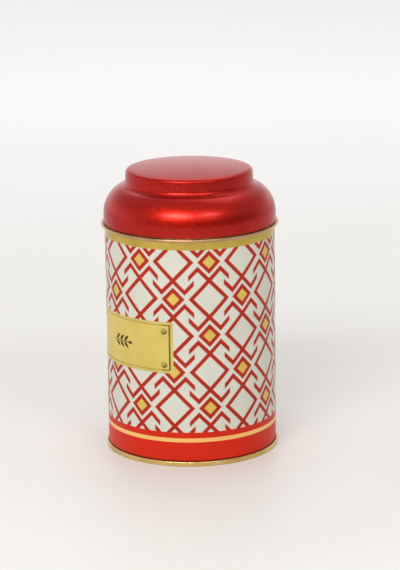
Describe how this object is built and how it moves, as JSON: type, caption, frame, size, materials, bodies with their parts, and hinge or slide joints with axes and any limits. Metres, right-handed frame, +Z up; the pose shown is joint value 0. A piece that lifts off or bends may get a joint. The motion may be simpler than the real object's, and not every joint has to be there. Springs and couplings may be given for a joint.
{
  "type": "round tea tin",
  "caption": "Round printed tea tin with a stepped dome lid that lifts off a neck ring, and an inner plug lid with a knob.",
  "frame": {"origin": "centre of the bottom seam ring, on the surface the tin stands on", "axes": "+Z up along the tin's axis, -Y out through the middle of the printed label, side seam at +Y"},
  "size_m": [0.1044, 0.1044, 0.1686],
  "materials": {
    "printed_tinplate": "off-white ink with a red and gold geometric print under clear varnish",
    "gold_lacquer": "gold-lacquered tinplate, semi-gloss",
    "red_lacquer": "metallic red lacquer with a fine satin grain",
    "turned_brass": "turned and polished"
  },
  "bodies": {
    "canister": {"body_shell": "printed_tinplate", "bottom_end": "gold_lacquer", "neck_ring": "gold_lacquer"},
    "plug_lid": {"inner_lid": "gold_lacquer", "inner_lid_knob": "turned_brass"},
    "dome_lid": {"outer_lid": "red_lacquer"}
  },
  "joints": [
    {"name": "dome_lid_lift", "type": "slide", "parent": "canister", "child": "dome_lid", "axis": [0, 0, 1], "range_m": [0, 0.09]},
    {"name": "plug_lid_lift", "type": "slide", "parent": "canister", "child": "plug_lid", "axis": [0, 0, 1], "range_m": [0, 0.04]}
  ],
  "couplings": [
    {"joint": "plug_lid_lift", "follows": "dome_lid_lift", "ratio": 0.4444}
  ]
}
